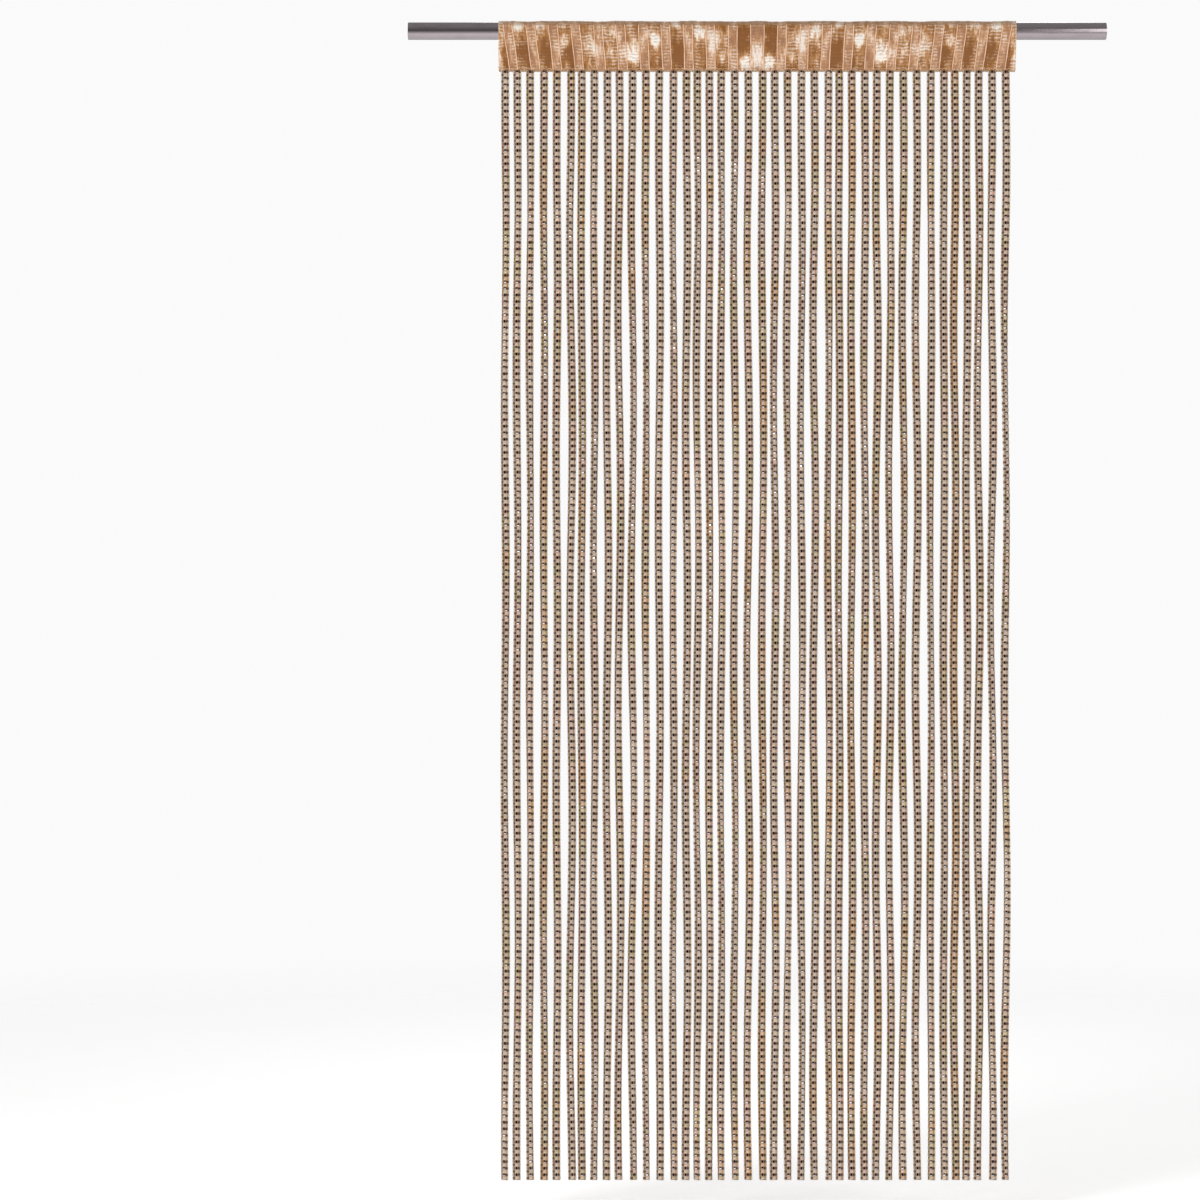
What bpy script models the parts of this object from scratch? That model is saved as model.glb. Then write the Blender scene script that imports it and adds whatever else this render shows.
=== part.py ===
"""String curtain on a round rod: a satin rod pocket with forty knitted chain strands hanging from it.

Run it with: blender --background --python part.py
Metres, +Z up. The origin is the middle of the rod's axis, +X runs along the rod and -Y is the front.
"""

import math
from dataclasses import dataclass

import bmesh
import bpy
import numpy as np

# Driving dimensions, in metres.
ROD_DIAMETER = 0.030
ROD_LENGTH = 1.215
ROD_END_BEVEL = 0.0008
ROD_SEGMENTS = 40

CURTAIN_WIDTH = 0.900
HEADER_DROP = 0.070  # from the rod's axis down to the lower edge of the heading
CURTAIN_DROP = 2.000  # from the rod's axis down to the ends of the strands

PIECE_GAP = 0.0003  # between pieces that lie against each other
CLOTH_THICKNESS = 0.0012
SEAM_DEPTH = 0.006  # both layers of the pocket are sewn together over this height
SEAM_OPENING = 0.0008  # between the two layers where the pocket closes
ARC_STEP = 22.0  # degrees between the rows of cloth over the rod
ARC_ROWS = 4
HANGING_ROWS = 3  # rows of cloth from the rod down to the seam

# Pale cords are laid into the satin in pairs, mirrored about the middle.
RIB_PAIRS_PER_SIDE = 11
RIB_FIRST_PAIR = 0.0428  # middle of the first pair
RIB_PAIR_PITCH = 0.0390
RIB_PAIR_SPREAD = 0.0152  # between the two cords of a pair
RIB_LONE = 0.0115  # the single cord on each side of the middle
RIB_WIDTH = 0.0024
RIB_HEIGHT = 0.0005
RIB_LEAN = 0.32  # the cords lean inwards by this much per metre from the middle

GATHER_DEPTH = 0.0024  # how far the slack satin stands out between its seam and the rod
GATHER_ON_ROD = 0.7  # share of that depth that is left over the rod
SELVEDGE = 0.004  # width of the folded hem at each side edge

BACKING_HEIGHT = 0.0035
BACKING_THICKNESS = 0.0030

STRAND_WIDTH = 0.0142
STRAND_THICKNESS = 0.0064
STRAND_ROOT_WIDTH = 0.0120
STRAND_FIRST = -0.4385  # the first strand's place along the rod
STRAND_REPEATS = 2
STRAND_LEVELS = 20
STRAND_ROOT_LENGTH = 0.010  # a strand reaches its full section this far below its root
STRAND_SEED = 207

# Distance from each strand to the next one in a repeat of the knitting, in millimetres.
STRAND_STEPS_MM = (
    21.0, 22.3, 24.4, 22.3, 24.7, 18.6, 21.8, 22.8, 20.9, 22.8,
    23.3, 23.3, 24.7, 22.8, 18.8, 20.9, 20.7, 23.3, 23.7, 25.0,
)


@dataclass
class Strand:
    """How one strand hangs below its root."""

    x: float
    sway: float  # sideways wander, in metres
    sway_wave: float  # length of one wander, in metres
    sway_start: float
    turn: float  # how far the flat strand turns to and fro, in radians
    turn_wave: float
    turn_start: float
    depth: float  # wander to the front and the back, in metres


def clear_scene():
    for obj in list(bpy.data.objects):
        bpy.data.objects.remove(obj, do_unlink=True)


def finish(name, colour, roughness, metallic):
    """A plain material of that colour."""
    made = bpy.data.materials.new(name)
    made.use_nodes = True
    shader = made.node_tree.nodes["Principled BSDF"]
    shader.inputs["Base Color"].default_value = (*colour, 1.0)
    shader.inputs["Roughness"].default_value = roughness
    shader.inputs["Metallic"].default_value = metallic
    return made


def object_from(bm, name, material):
    """Links the mesh as an object with that name and material."""
    bmesh.ops.recalc_face_normals(bm, faces=bm.faces)
    mesh = bpy.data.meshes.new(name)
    bm.to_mesh(mesh)
    bm.free()
    mesh.materials.append(material)
    obj = bpy.data.objects.new(name, mesh)
    bpy.context.scene.collection.objects.link(obj)
    return obj


# The rod.


def make_rod(material):
    """A plain round rod along X, with flat ends and a small bevel round each."""
    bm = bmesh.new()
    bmesh.ops.create_cone(
        bm,
        cap_ends=True,
        segments=ROD_SEGMENTS,
        radius1=ROD_DIAMETER / 2,
        radius2=ROD_DIAMETER / 2,
        depth=ROD_LENGTH,
    )
    rod = object_from(bm, "rod", material)
    rod.rotation_euler = (0, math.pi / 2, 0)
    bevel = rod.modifiers.new("end bevel", "BEVEL")
    bevel.width = ROD_END_BEVEL
    bevel.segments = 1
    bevel.limit_method = "ANGLE"
    bevel.angle_limit = math.radians(60)
    rod.data.shade_smooth()
    rod.data.set_sharp_from_angle(angle=math.radians(40))
    return rod


# The heading: a tube of satin round the rod, closed by a seam under it.


def rib_places():
    """Where each cord crosses the level of the rod's axis, from left to right."""
    side = [RIB_LONE]
    for pair in range(RIB_PAIRS_PER_SIDE):
        middle = RIB_FIRST_PAIR + pair * RIB_PAIR_PITCH
        side += [middle - RIB_PAIR_SPREAD / 2, middle + RIB_PAIR_SPREAD / 2]
    return sorted([-x for x in side] + side)


def leaning(x, z):
    """A cord's place at height z, when it crosses the rod's axis at x."""
    return x * (1 + RIB_LEAN * z)


def gather(x, z):
    """How far the slack satin stands out at x, from 0 to 1: uneven soft folds that die out at the seam."""
    seam = HEADER_DROP - BACKING_HEIGHT - SEAM_DEPTH
    down = min(1.0, max(0.0, (ROD_DIAMETER / 2 - z) / (seam + ROD_DIAMETER / 2)))
    slack = GATHER_ON_ROD * (1 - down) + 1.2 * math.sin(math.pi * down) ** 1.3
    side = abs(x)
    folds = (
        0.5
        + 0.26 * math.cos(2 * math.pi * side / 0.117 + 2.4 * z / HEADER_DROP)
        + 0.16 * math.sin(2 * math.pi * side / 0.062 + 1.9)
        + 0.08 * math.sin(2 * math.pi * x / 0.043)
    )
    return min(1.0, slack) * folds


@dataclass
class Row:
    """One row of the pocket's section: a height, a depth from the middle, and which way is outwards."""

    z: float
    y: float
    out_y: float
    out_z: float


def pocket_rows(radius, seam_z, seam_half, bottom_z):
    """Rows of the section round the rod, from the front's lower edge over the top to the back's lower edge.

    The cloth lies on a circle of that radius and runs straight down from it to the seam.
    """
    # The straight run down to the seam leaves the circle at this angle below the level of its middle.
    under = math.acos(radius / math.hypot(seam_half, seam_z)) - math.atan2(-seam_z, seam_half)
    arc = [math.radians(90 - (i + 1) * ARC_STEP) for i in range(ARC_ROWS)] + [under]
    front = [Row(radius * math.sin(a), -radius * math.cos(a), -math.cos(a), math.sin(a)) for a in arc]
    start = front[-1]
    for i in range(HANGING_ROWS):
        share = (i + 1) / HANGING_ROWS
        z = start.z + share * (seam_z - start.z)
        y = start.y - share * (seam_half + start.y)
        front.append(Row(z, y, start.out_y, start.out_z))
    front.append(Row(bottom_z, -seam_half, -1.0, 0.0))
    top = Row(radius, 0.0, 0.0, 1.0)
    back = [Row(r.z, -r.y, -r.out_y, r.out_z) for r in front]
    return front[::-1] + [top] + back


def skin(bm, rows, columns, raised):
    """A tube of quads through the rows, open at both ends. Returns its vertices, column by column."""
    half = CURTAIN_WIDTH / 2
    grid = []
    for at, rib in columns:
        line = []
        for row in rows:
            x = at if abs(at) > half - SELVEDGE - 1e-6 else leaning(at, row.z)
            out = GATHER_DEPTH * gather(x, row.z) + raised * rib * RIB_HEIGHT
            line.append(bm.verts.new((x, row.y + out * row.out_y, row.z + out * row.out_z)))
        grid.append(line)
    count = len(rows)
    for left, right in zip(grid, grid[1:], strict=False):
        for i in range(count):
            j = (i + 1) % count
            bm.faces.new((left[i], right[i], right[j], left[j]))
    return grid


def make_header(material):
    """The rod pocket: a satin band folded over the rod, its two layers sewn together along the lower edge."""
    half = CURTAIN_WIDTH / 2
    lowest = -HEADER_DROP + BACKING_HEIGHT + PIECE_GAP
    seam_z = lowest + SEAM_DEPTH
    flats = math.cos(math.radians(ARC_STEP / 2))  # the flats between the rows clear the rod too
    inner = (ROD_DIAMETER / 2 + PIECE_GAP) / flats
    outer = inner + CLOTH_THICKNESS
    outer_rows = pocket_rows(outer, seam_z, SEAM_OPENING / 2 + CLOTH_THICKNESS, lowest)
    inner_rows = pocket_rows(inner, seam_z + CLOTH_THICKNESS, SEAM_OPENING, seam_z)
    edges = [half, half - SELVEDGE]
    ribs = rib_places()
    outer_columns = [(x, 0) for e in edges for x in (-e, e)]
    for x in ribs:
        outer_columns += [(x - RIB_WIDTH / 2, 0), (x, 1), (x + RIB_WIDTH / 2, 0)]
    inner_columns = [(x, 0) for e in edges for x in (-e, e)] + [(x, 0) for x in ribs]
    bm = bmesh.new()
    outside = skin(bm, outer_rows, sorted(outer_columns), raised=1)
    inside = skin(bm, inner_rows, sorted(inner_columns), raised=0)
    for end in (0, -1):
        ring, hole = outside[end], inside[end]
        for i in range(len(ring)):
            j = (i + 1) % len(ring)
            bm.faces.new((ring[i], ring[j], hole[j], hole[i]))
    header = object_from(bm, "header", material)
    header.data.shade_smooth()
    header.data.set_sharp_from_angle(angle=math.radians(50))
    return header


# The strands, rooted in a narrow backing strip.


def strands():
    """Every strand from left to right, each with its own small wander and turn."""
    chance = np.random.default_rng(STRAND_SEED)
    made = []
    x = STRAND_FIRST
    for step in STRAND_STEPS_MM * STRAND_REPEATS:
        made.append(
            Strand(
                x=x,
                sway=chance.uniform(0.0010, 0.0024),
                sway_wave=chance.uniform(0.58, 0.72),
                sway_start=chance.uniform(0, 2 * math.pi),
                turn=math.radians(chance.uniform(10, 40)),
                turn_wave=chance.uniform(0.95, 1.6),
                turn_start=chance.uniform(0, 2 * math.pi),
                depth=chance.uniform(0.0005, 0.0018),
            )
        )
        x += step / 1000
    return made


def section(strand, z):
    """The middle and the turn of the strand's section at height z: (x, y, angle)."""
    down = -HEADER_DROP - z
    free = min(1.0, down / 0.25)  # the root holds it straight
    wander = 2 * math.pi * down / strand.sway_wave + strand.sway_start
    turning = 2 * math.pi * down / strand.turn_wave + strand.turn_start
    x = strand.x + free * strand.sway * math.sin(wander)
    y = free * strand.depth * math.cos(wander * 0.7)
    return x, y, free * strand.turn * math.sin(turning)


def strand_heights():
    """The heights of a strand's sections, the same for all strands."""
    top = -HEADER_DROP - STRAND_ROOT_LENGTH
    step = (CURTAIN_DROP + top) / (STRAND_LEVELS - 1)
    return [top - i * step for i in range(STRAND_LEVELS)]


def grow(bm, root, strand):
    """Draws the root face of the backing down into a four-sided strand."""
    corners = [
        (math.copysign(STRAND_WIDTH / 2, v.co.x - strand.x), math.copysign(STRAND_THICKNESS / 2, v.co.y))
        for v in root.verts
    ]
    face = root
    for z in strand_heights():
        face = bmesh.ops.extrude_discrete_faces(bm, faces=[face])["faces"][0]
        x, y, angle = section(strand, z)
        cos, sin = math.cos(angle), math.sin(angle)
        for vertex, (across, deep) in zip(face.verts, corners, strict=True):
            vertex.co = (x + cos * across - sin * deep, y + sin * across + cos * deep, z)


def make_strands(material):
    """The backing strip under the heading, with the strands fused to its lower face."""
    half = CURTAIN_WIDTH / 2
    all_strands = strands()
    cuts = [-half, half]
    for strand in all_strands:
        cuts += [strand.x - STRAND_ROOT_WIDTH / 2, strand.x + STRAND_ROOT_WIDTH / 2]
    bm = bmesh.new()
    pairs = [
        [bm.verts.new((x, y, -HEADER_DROP)) for y in (-BACKING_THICKNESS / 2, BACKING_THICKNESS / 2)]
        for x in sorted(cuts)
    ]
    cells = [
        bm.faces.new((a[0], a[1], b[1], b[0])) for a, b in zip(pairs, pairs[1:], strict=False)
    ]
    lifted = bmesh.ops.extrude_face_region(bm, geom=cells, use_keep_orig=True)["geom"]
    raised = [v for v in lifted if isinstance(v, bmesh.types.BMVert)]
    bmesh.ops.translate(bm, verts=raised, vec=(0, 0, BACKING_HEIGHT))
    bm.faces.ensure_lookup_table()
    for root, strand in zip(cells[1::2], all_strands, strict=True):
        grow(bm, root, strand)
    return object_from(bm, "strands", material)


def main():
    clear_scene()
    make_rod(finish("brushed steel", (0.30, 0.27, 0.28), 0.35, 1.0))
    make_header(finish("bronze satin", (0.50, 0.31, 0.19), 0.42, 0.25))
    make_strands(finish("champagne chain yarn", (0.56, 0.42, 0.32), 0.45, 0.35))


main()
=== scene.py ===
"""String curtain on a rod, dressed: satin rod pocket, laid-in cords and forty knitted chain strands.

Metres, +Z up. The origin is the middle of the rod's axis, +X runs along the rod and -Y is the front.
"""

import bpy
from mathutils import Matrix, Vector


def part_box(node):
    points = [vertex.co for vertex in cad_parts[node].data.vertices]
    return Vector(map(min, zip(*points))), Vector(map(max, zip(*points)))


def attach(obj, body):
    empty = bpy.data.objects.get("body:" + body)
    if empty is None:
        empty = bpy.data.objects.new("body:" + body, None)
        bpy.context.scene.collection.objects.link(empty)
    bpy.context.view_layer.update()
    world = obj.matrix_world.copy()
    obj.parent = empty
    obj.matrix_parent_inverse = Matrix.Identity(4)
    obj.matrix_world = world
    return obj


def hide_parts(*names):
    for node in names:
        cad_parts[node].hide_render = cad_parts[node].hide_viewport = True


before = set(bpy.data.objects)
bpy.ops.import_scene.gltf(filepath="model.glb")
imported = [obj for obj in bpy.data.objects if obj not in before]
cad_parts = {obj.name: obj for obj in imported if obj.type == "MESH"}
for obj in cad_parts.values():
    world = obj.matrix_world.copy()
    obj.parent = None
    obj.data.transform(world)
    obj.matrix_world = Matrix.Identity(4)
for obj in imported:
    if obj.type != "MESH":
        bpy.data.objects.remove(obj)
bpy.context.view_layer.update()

import logging
import math
from collections.abc import Callable, Iterator, Sequence
from contextlib import contextmanager
from dataclasses import dataclass, field
from enum import Enum

import bmesh
import bpy
import numpy as np
from mathutils import Matrix, Vector

log = logging.getLogger("curtain")

ROD_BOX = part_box("rod")
HEADER_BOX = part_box("header")
STRANDS_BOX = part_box("strands")

Number = float | int
Piece = bpy.types.Object


# Shader maths.


@dataclass(frozen=True)
class Wire:
    """A value on its way through a shader, so that sums and products can be written as such."""

    dye: "Dye"
    socket: bpy.types.NodeSocket

    def __add__(self, other: "Value") -> "Wire":
        """Sum."""
        return self.dye.maths("ADD", self, other)

    def __sub__(self, other: "Value") -> "Wire":
        """Difference."""
        return self.dye.maths("SUBTRACT", self, other)

    def __rsub__(self, other: Number) -> "Wire":
        """Difference from a number."""
        return self.dye.maths("SUBTRACT", other, self)

    def __mul__(self, other: "Value") -> "Wire":
        """Product."""
        return self.dye.maths("MULTIPLY", self, other)

    def __truediv__(self, other: "Value") -> "Wire":
        """Quotient."""
        return self.dye.maths("DIVIDE", self, other)

    def __pow__(self, power: Number) -> "Wire":
        """Power."""
        return self.dye.maths("POWER", self, power)

    def __gt__(self, other: "Value") -> "Wire":
        """1 where this is more than the other, and 0 elsewhere."""
        return self.dye.maths("GREATER_THAN", self, other)

    def sine(self) -> "Wire":
        """Sine of the value in turns."""
        return self.dye.maths("SINE", self * math.tau)

    def wave(self) -> "Wire":
        """A wave between 0 and 1, once for every turn."""
        return self.sine() * 0.5 + 0.5

    def part(self) -> "Wire":
        """What is left after the whole number below."""
        return self.dye.maths("FRACT", self)

    def whole(self) -> "Wire":
        """The whole number below."""
        return self.dye.maths("FLOOR", self)

    def size(self) -> "Wire":
        """The value without its sign."""
        return self.dye.maths("ABSOLUTE", self)

    def clamped(self) -> "Wire":
        """The value held between 0 and 1."""
        return self.dye.maths("ADD", self, 0.0, clamp=True)

    def step(self, low: Number, high: Number) -> "Wire":
        """A smooth step from 0 at low to 1 at high.

        Args:
            low: Where it is still 0.
            high: Where it is 1.

        Returns:
            The height of the step.
        """
        feeds = {"Value": self, "From Min": low, "From Max": high}
        node = self.dye.node("ShaderNodeMapRange", feeds, interpolation_type="SMOOTHSTEP")
        return Wire(self.dye, node.outputs["Result"])


Value = Wire | Number
Colour = tuple[float, float, float]
Feed = Value | Colour
Feeds = dict[str | int, Feed]


def dyed(red: int, green: int, blue: int) -> Colour:
    """A colour from its display values, 0 to 255."""
    shares = (value / 255 for value in (red, green, blue))
    return tuple(x / 12.92 if x <= 0.04045 else ((x + 0.055) / 1.055) ** 2.4 for x in shares)


class Dye:
    """The nodes of one tree, written as expressions."""

    def __init__(self, owner: bpy.types.Material | bpy.types.World, shader: str) -> None:
        """Takes up the nodes of a material or a world.

        Args:
            owner: The new material or world.
            shader: The name of the shader node that it starts with.
        """
        owner.use_nodes = True
        self.owner = owner
        self.tree = owner.node_tree
        self.shader = self.tree.nodes[shader]

    @classmethod
    def material_named(cls, name: str) -> "Dye":
        """Starts a material with one Principled shader."""
        return cls(bpy.data.materials.new(name), "Principled BSDF")

    def feed(self, socket: bpy.types.NodeSocket, value: Feed) -> None:
        """Links a wire to a socket, or sets the socket to a constant.

        Args:
            socket: The socket to feed.
            value: A wire, a number or a colour.
        """
        if isinstance(value, Wire):
            self.tree.links.new(value.socket, socket)
        else:
            socket.default_value = (*value, 1.0) if isinstance(value, tuple) else value

    def node(self, kind: str, feeds: Feeds | None = None, **settings: object) -> bpy.types.Node:
        """Adds a node.

        Args:
            kind: The node's type.
            feeds: What goes into its sockets, by name or number.
            settings: Its properties.

        Returns:
            The new node.
        """
        made = self.tree.nodes.new(kind)
        for key, value in settings.items():
            setattr(made, key, value)
        for key, value in (feeds or {}).items():
            self.feed(made.inputs[key], value)
        return made

    def maths(self, operation: str, *values: Value, clamp: bool = False) -> Wire:
        """The result of a Math node."""
        node = self.node("ShaderNodeMath", dict(enumerate(values)), operation=operation, use_clamp=clamp)
        return Wire(self, node.outputs[0])

    def blend(self, share: Value, first: Feed, second: Feed, mode: str = "MIX") -> Wire:
        """The first colour with a share of the second blended into it."""
        node = self.node("ShaderNodeMix", {0: share, 6: first, 7: second}, data_type="RGBA", blend_type=mode)
        return Wire(self, node.outputs[2])

    def ramp(self, value: Wire, stops: Sequence[tuple[float, Colour]], run: str = "LINEAR") -> Wire:
        """A run of colours along a value.

        Args:
            value: The place along the run.
            stops: Places and their colours.
            run: How one colour goes over into the next.

        Returns:
            The colour there.
        """
        node = self.node("ShaderNodeValToRGB", {0: value})
        node.color_ramp.interpolation = run
        elements = node.color_ramp.elements
        while len(elements) < len(stops):
            elements.new(0.5)
        for element, (place, colour) in zip(elements, stops, strict=True):
            element.position = place
            element.color = (*colour, 1.0)
        return Wire(self, node.outputs["Color"])

    def split(self, vector: bpy.types.NodeSocket) -> tuple[Wire, ...]:
        """The three values of a vector."""
        node = self.node("ShaderNodeSeparateXYZ", {0: Wire(self, vector)})
        return tuple(Wire(self, output) for output in node.outputs)

    def place(self, way: str = "Object") -> tuple[Wire, ...]:
        """The point's X, Y and Z, in metres on the object unless another way is named."""
        return self.split(self.node("ShaderNodeTexCoord").outputs[way])

    def chart(self, name: str) -> tuple[Wire, ...]:
        """The point's places across and along a piece's own map."""
        return self.split(self.node("ShaderNodeUVMap", uv_map=name).outputs[0])[:2]

    def vector(self, x: Value, y: Value, z: Value) -> Wire:
        """A vector of three values."""
        return Wire(self, self.node("ShaderNodeCombineXYZ", {0: x, 1: y, 2: z}).outputs[0])

    def noise(self, at: Wire, scale: Number, detail: Number = 2.0, rough: Number = 0.5) -> Wire:
        """Soft noise round 0.5: so many lumps per unit, so many finer layers, and how strong these are."""
        feeds = {"Vector": at, "Scale": scale, "Detail": detail, "Roughness": rough}
        return Wire(self, self.node("ShaderNodeTexNoise", feeds).outputs[0])

    def bump(self, height: Wire, strength: Number, depth: Number) -> Wire:
        """A normal roughened by a height from 0 to 1, with its depth in metres."""
        feeds = {"Height": height, "Strength": strength, "Distance": depth}
        return Wire(self, self.node("ShaderNodeBump", feeds).outputs[0])

    def finish(self, **sockets: Feed) -> bpy.types.Material | bpy.types.World:
        """Feeds the shader.

        Args:
            sockets: The shader's sockets by name, with _ for each space.

        Returns:
            The finished material or world.
        """
        for name, value in sockets.items():
            self.feed(self.shader.inputs[name.replace("_", " ")], value)
        return self.owner


# Finishes. Lengths in the chain's finishes are in millimetres.

CHAIN_MAP = "chain"
CLOTH_MAP = "cloth"
BAKE_MAP = "OFBake"
COLUMNS, ROWS = 2, 8  # the chain's map holds this many variants of a unit
MARGIN = 0.015  # share of a unit's map left free round it
KINDS = 4  # variants of the plate, from bright to dark, a painted reflection; the rest of the variants are tints
KIND_SHADE = 0.055  # how much darker each of them makes its unit, as painted shade
TINTS = ((0.98, 0.98, 1.0), (0.96, 0.86, 0.87), (0.90, 0.91, 0.76), (0.95, 0.80, 0.62))
TINT_ROWS = ROWS // KINDS  # how many tints share a column

PLATE = 0.36  # share of a unit that its foil plate takes
BULGE = 0.68  # where the threads between two plates stand out most
WIDTH_MM, LENGTH_MM = 36.0, 11.4  # what the map of a unit stands for
FOIL_MIDDLE, BACK_MIDDLE = 6.2, 17.7  # where the middles of the foil and of the back lie across it


@dataclass(frozen=True)
class Unit:
    """Where a point of the chain lies in its unit, and which variant the unit is."""

    dye: Dye
    across: Wire
    along: Wire
    kind: Wire
    tint: Wire

    @classmethod
    def of(cls, dye: Dye) -> "Unit":
        """Reads the chain's map.

        Args:
            dye: The material's nodes.

        Returns:
            The place and the variant.
        """
        u, v = dye.chart(CHAIN_MAP)
        row = (v * ROWS).whole()
        half = (v * TINT_ROWS).whole()
        tint = (u * COLUMNS).whole() * TINT_ROWS + half
        along = ((v * ROWS).part() - MARGIN) / (1 - 2 * MARGIN)
        return cls(dye, (u * COLUMNS).part(), along, row - half * KINDS, tint)

    @property
    def out(self) -> Wire:
        """Distance across from the middle of the foil."""
        return (self.across * WIDTH_MM - FOIL_MIDDLE).size()

    def away(self, place: Value) -> Wire:
        """Distance along from a place of the unit or of the next one, as a share of a unit."""
        return ((self.along - place + 0.5).part() - 0.5).size()

    def at(self, stretch: Number = 1.0) -> Wire:
        """A vector that differs from unit to unit."""
        variant = self.kind * 7.3 + self.tint * 31.7
        return self.dye.vector(self.across * WIDTH_MM * stretch, self.along * LENGTH_MM, variant)

    def tinted(self, colour: Wire) -> Wire:
        """The colour with the unit's tint and the painted shade of its variant.

        Args:
            colour: The colour of the brightest variant.

        Returns:
            The colour of this one.
        """
        stops = [(number / len(TINTS), tint) for number, tint in enumerate(TINTS)]
        tints = self.dye.ramp((self.tint + 0.5) / len(TINTS), stops, "CONSTANT")
        colour = self.dye.blend(1.0, colour, tints, "MULTIPLY")
        # painted shade: darker for the darker variants of the plate
        return self.dye.blend(self.kind * KIND_SHADE, colour, (0.0, 0.0, 0.0))


@dataclass(frozen=True)
class GimpCord:
    """A shiny cord of fine threads laid side by side, with painted shade where it dips under the stitches."""

    name: str
    light: Colour
    shade: Colour
    # painted shade where the cord dips under the stitches
    deep: Colour
    threads: float = 2.4  # per millimetre

    def made(self) -> bpy.types.Material:
        """Makes the material.

        Returns:
            The material.
        """
        dye = Dye.material_named(self.name)
        unit = Unit.of(dye)
        patches = dye.noise(unit.at(), 0.8, 3).step(0.38, 0.62)
        wobble = dye.noise(unit.at(0.5), 0.9, 2) * 1.6
        lines = (unit.across * WIDTH_MM * self.threads + wobble).wave()
        colour = dye.blend(lines * 0.4 + patches * 0.6, self.shade, self.light)
        # painted shade at both ends of each arc, where the cord goes in under the stitches
        dip_shade = 1 - (unit.along * 0.5).sine().step(0.15, 0.85)
        return dye.finish(
            Base_Color=unit.tinted(dye.blend(dip_shade * 0.95, colour, self.deep)),
            Roughness=0.55 - patches * 0.2,
            Sheen_Weight=0.2,
            Sheen_Roughness=0.4,
            Normal=dye.bump(lines, 0.6, 0.00015),
        )


@dataclass(frozen=True)
class KnitStitch:
    """Gold knitting: rows of small slanted hollows between fine threads, painted dark as shade, and clear
    windows if it has any.
    """

    name: str
    light: Colour
    gold: Colour
    dark: Colour
    knot_and_shade: Colour  # the knots' darker gold with painted shade, where the outer cords go in under it
    stitches: float = 7.0  # in one unit of the chain
    rows: tuple[float, ...] = (3.15, 4.55)  # distance of each row of hollows from the middle
    windows: Colour | None = None
    beside: float = 0.0  # how much darker it is beside the foil plates
    tuck: float = 0.0  # how much of the knots' colour and painted shade shows

    def made(self) -> bpy.types.Material:
        """Makes the material.

        Returns:
            The material.
        """
        dye = Dye.material_named(self.name)
        unit = Unit.of(dye)
        a, b = unit.across * WIDTH_MM, unit.along
        middle = (a - BACK_MIDDLE).size()
        out = middle if self.windows else unit.out
        wobble = dye.noise(unit.at(), 0.55, 2) - 0.5
        hollow = None
        for number, row in enumerate(self.rows):
            near = 1 - (out - row + wobble * 0.5).size().step(0.18, 0.5)
            dash = (b * self.stitches + (out - row) * 0.55 + number * 0.5 + wobble * 0.5).sine()
            marks = near * dash.step(-0.1, 0.6)
            hollow = marks if hollow is None else dye.maths("MAXIMUM", hollow, marks)
        threads = (a * 2.2 - b * 26.0 + wobble * 2).wave()
        patches = dye.noise(unit.at(), 0.45, 2).step(0.4, 0.62)
        colour = dye.blend(patches * 0.6 + threads * 0.35, self.gold, self.light)
        beside = 1 - unit.away(PLATE / 2).step(0.04, 0.38)
        colour = dye.blend(beside * self.beside, colour, self.dark)
        right = (a - FOIL_MIDDLE) > 0.0
        # painted shade with the knots' darker gold, where the outer cords go in under the stitches
        tuck = 1 - unit.away(right * -0.5 + (PLATE / 2 + 0.5)).step(0.08, 0.30)
        colour = dye.blend(tuck * (out - 2.0).step(0.0, 0.9) * self.tuck, colour, self.knot_and_shade)
        # painted shade in the hollows
        colour = dye.blend(hollow * 0.75, colour, self.dark)
        height = (1 - hollow) * 0.75 + threads * 0.25
        if self.windows:
            window = (1 - middle.step(1.2, 1.6)) * (b * 2).sine().step(0.15, 0.45)
            colour = dye.blend(window * 0.8, colour, self.windows)
            height = height * (1 - window * 0.7)
        return dye.finish(
            Base_Color=unit.tinted(colour),
            Metallic=hollow * -0.2 + 0.25,
            Roughness=hollow * 0.25 + 0.42,
            Normal=dye.bump(height, 0.9, 0.00035),
        )


@dataclass(frozen=True)
class FoilPlate:
    """The foil tape where it lies open: a white plate with a dark edge, or a dark one with a blue line, as a
    painted reflection that darkens with the unit's variant.
    """

    name: str
    silver: Colour
    violet: Colour
    blue: Colour

    def made(self) -> bpy.types.Material:
        """Makes the material.

        Returns:
            The material.
        """
        dye = Dye.material_named(self.name)
        unit = Unit.of(dye)
        slant = dye.noise(unit.at(), 0.25, 1) * 0.4 + unit.across * 0.6
        down = unit.along / PLATE
        # the dark edge moves down the plate with the unit's variant: painted reflection
        past = down - (unit.kind * 0.25 + slant * 0.22)  # below the dark edge
        colour = dye.blend((past - 0.20).step(-0.02, 0.02), self.blue, self.silver)
        colour = dye.blend(1 - (past - 0.06).step(-0.03, 0.03), colour, self.violet)
        fleck = (past + 0.12).size() * -1.0
        colour = dye.blend(fleck.step(-0.04, -0.015) * 0.25, colour, self.blue)
        colour = dye.blend((down - 0.93).step(0.0, 0.03) * 0.7, colour, self.violet)
        return dye.finish(Base_Color=colour, Metallic=0.25, Roughness=0.25, Specular_IOR_Level=0.2)


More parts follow.
